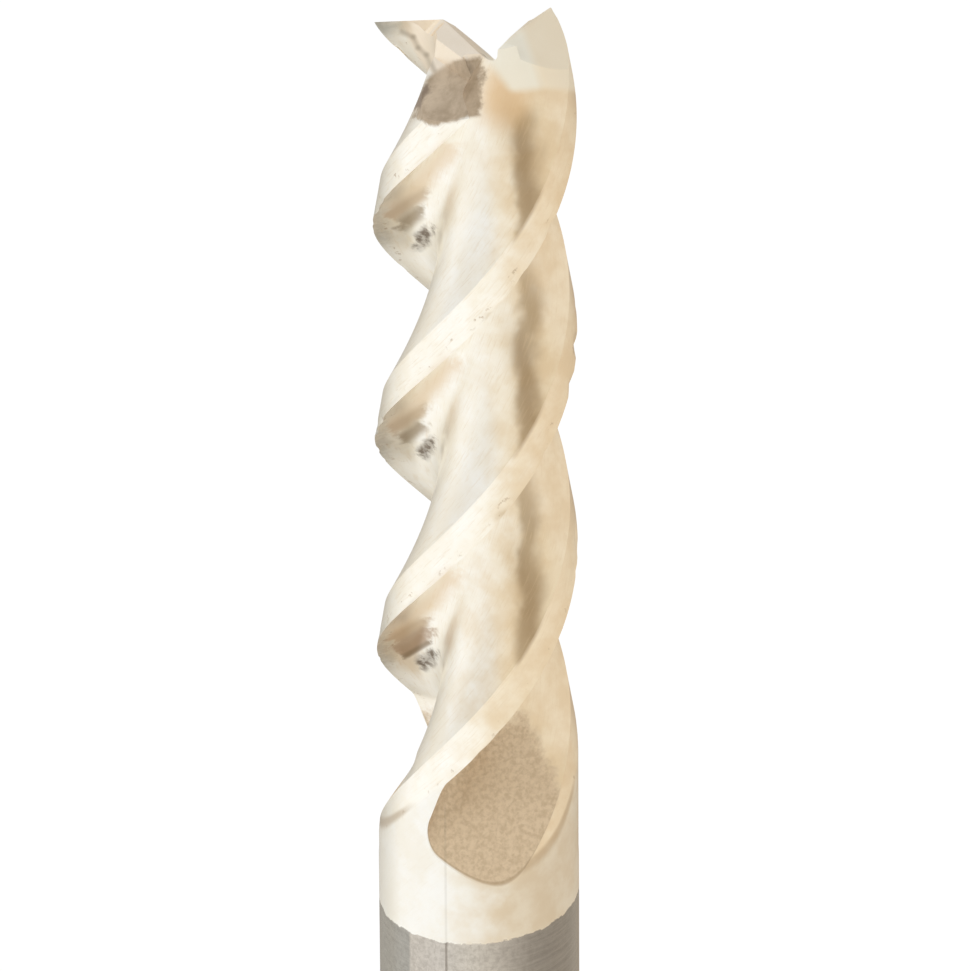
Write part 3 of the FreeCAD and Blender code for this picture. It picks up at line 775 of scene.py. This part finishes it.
def tip_marks(nodes, place, marks, colour):
    """The cutting end: painted shade in the hollow and along a line, painted light on the ground facets and
    the left wall, and the broken face with painted shade beside it.
    """
    # Painted shade: a tan spot in the hollow of the cutting end
    hollow_shade = marks.spot(HOLLOW, 38, 46, ragged=False)
    colour = nodes.mix(nodes.times(hollow_shade, 0.78), colour, HOLLOW_SHADE_TAN)
    far = Marks(nodes, place, front=-4.6)
    # Painted light: the ground facets and the left wall lighter, each in its own tone
    lit_tan_facet = far.patch(LIT_TAN_FACET, 0.25, ragged=False)
    colour = nodes.mix(nodes.times(lit_tan_facet, 0.8), colour, LIT_FACET_TAN)
    lit_pale_facet = far.patch(LIT_PALE_FACET, 0.3, ragged=False)
    colour = nodes.mix(nodes.times(lit_pale_facet, 0.85), colour, LIT_FACET_CREAM)
    lit_wall = far.patch(LIT_LEFT_WALL, 0.15, ragged=False)
    colour = nodes.mix(nodes.times(lit_wall, 0.75), colour, LIT_WALL_CREAM)
    corner = far.spot(LEFT_CORNER, 24, 14)
    colour = nodes.mix(nodes.times(corner, 0.8), colour, CORNER_GREY)
    # Painted shade: a soft brown line where two faces of the left tooth meet
    for start, end in zip(SHADE_LINE, SHADE_LINE[1:]):
        line = far.stroke(start, end, width=5.0, ragged=False, soft=1.0)
        colour = nodes.mix(nodes.times(line, 0.45), colour, SHADE_LINE_BROWN)
    # Dark brown over the broken face, partly its own discoloured coating and partly painted shade, which also
    # covers the gash floor beside it
    broken = marks.patch(BROKEN_FACE_AND_SHADE, 0.2)
    grain = nodes.noise(place.point, scale=0.9, detail=5.0, roughness=0.6, distortion=0.3)
    brown = nodes.mix(nodes.step(grain, 0.3, 0.7), *BROKEN_AND_SHADE_BROWN)
    colour = nodes.mix(nodes.times(broken, 0.95), colour, brown)
    dark_edge = marks.stroke(*DARK_EDGE, width=9, soft=0.7)
    colour = nodes.mix(nodes.times(dark_edge, 0.8), colour, EDGE_BROWN)
    facets = nodes.greatest(lit_tan_facet, lit_pale_facet)
    return colour, nodes.greatest(nodes.times(broken, 0.6), nodes.times(facets, 0.58))


def runout_share(nodes, place):
    """1 on the rough, unpolished run-out of each flute, a leaf shape with its point upward."""
    ragged = nodes.noise(place.point, scale=1.6, detail=4.0, roughness=0.65)
    level = nodes.math("ADD", place.height, nodes.step(ragged, 0.25, 0.75, -0.5, 0.5))
    past_flute = nodes.math("SUBTRACT", 1.0, nodes.within(place.phase, 0.0, PITCH - LAND_ANGLE, 0.4))
    land = nodes.times(nodes.step(place.radius, HEEL_RADIUS - 0.1, HEEL_RADIUS), past_flute)
    below_rod = nodes.step(place.radius, RADIUS - 0.02, RADIUS - 0.08)
    inside = nodes.times(below_rod, nodes.math("SUBTRACT", 1.0, land))
    beyond = nodes.math("MAXIMUM", nodes.math("SUBTRACT", place.right, RUNOUT_POINT_RIGHT), 0.0)
    left_fall = nodes.step(place.right, -1.0, -2.2, 0.0, 3.6)
    fall = nodes.math("ADD", nodes.times(beyond, RUNOUT_SLOPE), left_fall)
    limit = nodes.math("SUBTRACT", RUNOUT_POINT_HEIGHT, fall)
    return nodes.times(inside, nodes.step(nodes.math("SUBTRACT", level, limit), 0.8, -0.8))


def coated_share(nodes, place):
    """1 above the slightly ragged line at which the coating ends."""
    rough = nodes.noise(place.point, scale=1.4, detail=4.0, roughness=0.6)
    ragged = nodes.step(rough, 0.3, 0.7, -0.09, 0.09)
    level = nodes.math("SUBTRACT", place.height, nodes.times(place.right, COATING_TILT))
    line = nodes.math("ADD", level, ragged)
    return nodes.step(line, COATING_END - 0.04, COATING_END + 0.04)


def steel_and_painted_shade(nodes, place):
    """Bare ground steel, with painted shade on the left rim and towards the right of the photographed side,
    its grain and faint grinding lines round the shank.
    """
    # Painted shade: darker on the left rim and towards the right
    steel = nodes.mix(nodes.step(place.right, -3.55, -3.4), STEEL_LEFT_SHADE, STEEL_MIDDLE)
    steel = nodes.mix(nodes.step(place.right, -0.6, 3.4), steel, STEEL_RIGHT_SHADE)
    unrolled = nodes.combine(nodes.times(place.bearing, 0.12), place.height, 0.0)
    grain = nodes.noise(unrolled, scale=2.4, detail=6.0, roughness=0.75)
    steel = nodes.mix(nodes.step(grain, 0.38, 0.64, 0.0, 0.36), steel, STEEL_GRAIN)
    drawn_out = nodes.combine(nodes.times(place.bearing, 0.004), place.height, 0.0)
    rings = nodes.noise(drawn_out, scale=6.0, detail=4.0, roughness=0.7)
    return nodes.mix(nodes.step(rings, 0.4, 0.7, 0.0, 0.12), steel, STEEL_RINGS)


def tool_material():
    material = bpy.data.materials.new("coated_steel")
    material.use_nodes = True
    nodes = Nodes(material.node_tree)
    place = Place(nodes)
    marks = Marks(nodes, place)
    shader = nodes.add("ShaderNodeBsdfPrincipled")
    output = nodes.add("ShaderNodeOutputMaterial")
    nodes.put(output.inputs[0], shader.outputs[0])
    colour = coating_and_painted_shade(nodes, place)
    colour = edge_shade_marks(nodes, place, colour)
    colour = tooth_shade_and_wear(nodes, place, colour)
    colour, dull_end = tip_marks(nodes, place, marks, colour)
    # Run-outs: mottled tan, with the mottle also in the relief, and a thin brown outline
    rough = runout_share(nodes, place)
    mottle = nodes.noise(place.point, scale=4.2, roughness=0.6, distortion=0.2)
    colour = nodes.mix(rough, colour, nodes.mix(nodes.step(mottle, 0.32, 0.66), *MOTTLED_TAN))
    outline = nodes.times(nodes.within(place.radius, RADIUS - 0.09, RADIUS - 0.035, 0.02),
                          nodes.step(place.height, 53.5, 52.0))
    colour = nodes.mix(nodes.times(outline, 0.55), colour, OUTLINE_BROWN)
    coated = coated_share(nodes, place)
    colour = nodes.mix(coated, steel_and_painted_shade(nodes, place), colour)
    flute_end = LENGTH - FLUTE_LENGTH
    seam = nodes.times(marks.stroke(*SEAM, width=2.4, ragged=False),
                       nodes.step(place.height, flute_end - 1.5, flute_end - 2.5))
    colour = nodes.mix(nodes.times(seam, nodes.step(coated, 0, 1, 0.55, 0.12)), colour, SEAM_BROWN)
    nodes.put(shader.inputs["Base Color"], colour)
    # Polished flutes, a duller rim above the coating's end, and ground steel below it
    rim = nodes.times(coated, nodes.step(place.radius, RADIUS - 0.06, RADIUS - 0.02),
                      nodes.step(place.height, 56.0, 54.0))
    dull = nodes.math("ADD", nodes.greatest(nodes.times(rough, 0.45), dull_end), nodes.times(rim, 0.5))
    metallic = nodes.math("SUBTRACT", nodes.step(coated, 0, 1, 0.92, 0.85), dull)
    nodes.put(shader.inputs["Metallic"], metallic)
    rougher = nodes.times(nodes.greatest(rough, dull_end), 0.3)
    roughness = nodes.math("ADD", nodes.step(coated, 0, 1, 0.2, 0.3), rougher)
    nodes.put(shader.inputs["Roughness"], roughness)
    bump = nodes.add("ShaderNodeBump")
    relief = nodes.math("ADD", nodes.times(rough, mottle), nodes.times(streaks(nodes, place), 0.12))
    nodes.put(bump.inputs["Height"], relief)
    bump.inputs["Strength"].default_value = 0.5
    bump.inputs["Distance"].default_value = 0.0001
    nodes.put(shader.inputs["Normal"], bump.outputs[0])
    return material


def add_camera():
    """The photograph's camera: it looks down on the cutting end from about eight tool lengths away."""
    level = math.cos(VIEW_ELEVATION)
    back = Vector((math.sin(VIEW_AZIMUTH) * level, -math.cos(VIEW_AZIMUTH) * level, math.sin(VIEW_ELEVATION)))
    right = Vector((math.cos(VIEW_AZIMUTH), math.sin(VIEW_AZIMUTH), 0))
    up = back.cross(right)
    rolled_right = right * math.cos(VIEW_ROLL) + up * math.sin(VIEW_ROLL)
    rolled_up = up * math.cos(VIEW_ROLL) - right * math.sin(VIEW_ROLL)
    width, height = FRAME_SIZE
    camera = bpy.data.cameras.new("camera")
    camera.sensor_fit = "HORIZONTAL"
    camera.sensor_width = 36
    camera.lens = PIXELS_PER_METRE * VIEW_DISTANCE / width * camera.sensor_width
    camera.shift_x = (width / 2 - VIEW_CENTRE[0]) / width
    camera.shift_y = (VIEW_CENTRE[1] - height / 2) / width
    camera.clip_end = 20
    item = new_object("camera", camera)
    rows = [(rolled_right[i], rolled_up[i], back[i], 0) for i in range(3)] + [(0, 0, 0, 1)]
    aim = Vector((0, 0, VIEW_AIM_HEIGHT))
    item.matrix_world = Matrix.Translation(aim + back * VIEW_DISTANCE) @ Matrix(rows)
    bpy.context.scene.camera = item


def add_area_light(name, azimuth, elevation, distance, size, power):
    """A square soft light aimed at the fluted part."""
    target = Vector((0, 0, 0.07))
    level = math.cos(elevation)
    direction = Vector((math.sin(azimuth) * level, -math.cos(azimuth) * level, math.sin(elevation)))
    light = bpy.data.lights.new(name, "AREA")
    light.size = size
    light.energy = power
    item = new_object(name, light)
    item.location = target + direction * distance
    item.rotation_euler = direction.to_track_quat("Z", "Y").to_euler()
    return item


def white_where_seen(nodes, seen, given):
    """One number for camera, glossy and transmission rays, and another for the light given."""
    path = nodes.add("ShaderNodeLightPath")
    rays = nodes.greatest(*(path.outputs[name] for name in ("Is Camera Ray", "Is Glossy Ray",
                                                            "Is Transmission Ray")))
    return nodes.step(rays, 0, 1, given, seen)


def add_world():
    world = bpy.data.worlds.new("studio")
    bpy.context.scene.world = world
    world.use_nodes = True
    nodes = Nodes(world.node_tree)
    background = nodes.add("ShaderNodeBackground")
    nodes.put(background.inputs["Strength"], white_where_seen(nodes, 1.0, 0.75))
    output = nodes.add("ShaderNodeOutputWorld")
    nodes.put(output.inputs[0], background.outputs[0])


def add_floor():
    mesh = bpy.data.meshes.new("floor")
    reach = 3.0
    mesh.from_pydata([(-reach, -reach, 0), (reach, -reach, 0), (reach, reach, 0), (-reach, reach, 0)],
                     [], [(0, 1, 2, 3)])
    floor = new_object("floor", mesh)
    material = bpy.data.materials.new("floor")
    material.use_nodes = True
    nodes = Nodes(material.node_tree)
    diffuse = nodes.add("ShaderNodeBsdfDiffuse")
    diffuse.inputs["Color"].default_value = (0.95, 0.95, 0.95, 1)
    glow = nodes.add("ShaderNodeEmission")
    glow.inputs["Strength"].default_value = 1.25
    mix = nodes.add("ShaderNodeMixShader")
    nodes.put(mix.inputs[0], white_where_seen(nodes, 0.6, 0.0))
    nodes.put(mix.inputs[1], diffuse.outputs[0])
    nodes.put(mix.inputs[2], glow.outputs[0])
    output = nodes.add("ShaderNodeOutputMaterial")
    nodes.put(output.inputs[0], mix.outputs[0])
    floor.data.materials.append(material)


def card(name, vertices, faces, colours, strength=1.0):
    """A coloured card beside the tool, seen only in its reflections."""
    mesh = bpy.data.meshes.new(name)
    mesh.from_pydata(vertices, [], faces)
    shades = mesh.color_attributes.new("shade", "FLOAT_COLOR", "POINT")
    for vertex, colour in zip(shades.data, colours):
        vertex.color = colour
    material = bpy.data.materials.new(name)
    material.use_nodes = True
    nodes = Nodes(material.node_tree)
    glow = nodes.add("ShaderNodeEmission")
    shade = nodes.add("ShaderNodeAttribute", attribute_name="shade")
    nodes.put(glow.inputs["Color"], shade.outputs["Color"])
    glow.inputs["Strength"].default_value = strength
    output = nodes.add("ShaderNodeOutputMaterial")
    nodes.put(output.inputs[0], glow.outputs[0])
    mesh.materials.append(material)
    item = new_object(name, mesh)
    item.visible_camera = False
    item.visible_diffuse = False
    item.visible_shadow = False
    item.visible_transmission = False


def around(azimuth, distance, height):
    """A point round the tool, with azimuth 0 on the photograph's side and positive to its right."""
    angle = VIEW_AZIMUTH + math.radians(azimuth)
    return (distance * math.sin(angle), -distance * math.cos(angle), height)


def add_wall_card(name, start, end, low, high, colour, distance=0.6):
    """An upright curved card, between two azimuths and two elevations seen from the flutes."""
    steps = 16
    vertices = []
    for azimuth in np.linspace(start, end, steps + 1):
        for elevation in (low, high):
            height = MIDDLE_HEIGHT + distance * math.tan(math.radians(elevation))
            vertices.append(around(azimuth, distance, height))
    faces = [(2 * i, 2 * i + 1, 2 * i + 3, 2 * i + 2) for i in range(steps)]
    card(name, vertices, faces, [colour] * len(vertices))


def add_table_card():
    """A ring round the tool's foot: pale on the left, tan on the right, grey behind."""
    behind = rgb(164, 158, 147)
    shades = {-180: behind, -160: rgb(182, 176, 166), -142: rgb(212, 208, 199), -118: rgb(234, 230, 222),
              -104: rgb(252, 250, 246), -45: rgb(255, 255, 255), -20: rgb(255, 254, 250),
              20: rgb(250, 246, 238), 60: rgb(244, 236, 224), 105: rgb(234, 224, 209),
              138: rgb(220, 210, 194), 160: rgb(182, 168, 150), 180: behind}
    azimuths = np.linspace(-180, 180, 181)
    channels = [np.interp(azimuths, list(shades), channel) for channel in zip(*shades.values())]
    vertices = []
    colours = []
    for azimuth, colour in zip(azimuths, zip(*channels)):
        for distance in (0.006, 0.6):
            vertices.append(around(azimuth, distance, 0.0003))
            colours.append(colour)
    faces = [(2 * i, 2 * i + 1, 2 * i + 3, 2 * i + 2) for i in range(len(azimuths) - 1)]
    card("table_card", vertices, faces, colours, strength=1.08)


def add_lights():
    key = add_area_light("key", azimuth=VIEW_AZIMUTH - math.radians(55), elevation=math.radians(35),
                         distance=0.6, size=0.4, power=1.25)
    key.visible_glossy = False
    add_table_card()
    add_wall_card("dark_card", -12, 13, 2, 32, rgb(206, 190, 165), distance=0.55)
    add_wall_card("brown_card", -48, 50, -4, 42, rgb(244, 236, 221))
    add_wall_card("tan_card", 50, 165, -8, 22, rgb(252, 246, 237))
    add_wall_card("rim_card", -180, -156, -25, 25, rgb(184, 179, 170))


tool = build_tool()
tool.data.materials.clear()
tool.data.materials.append(tool_material())
add_camera()
add_world()
add_floor()
add_lights()
bpy.context.scene.view_settings.view_transform = "Standard"
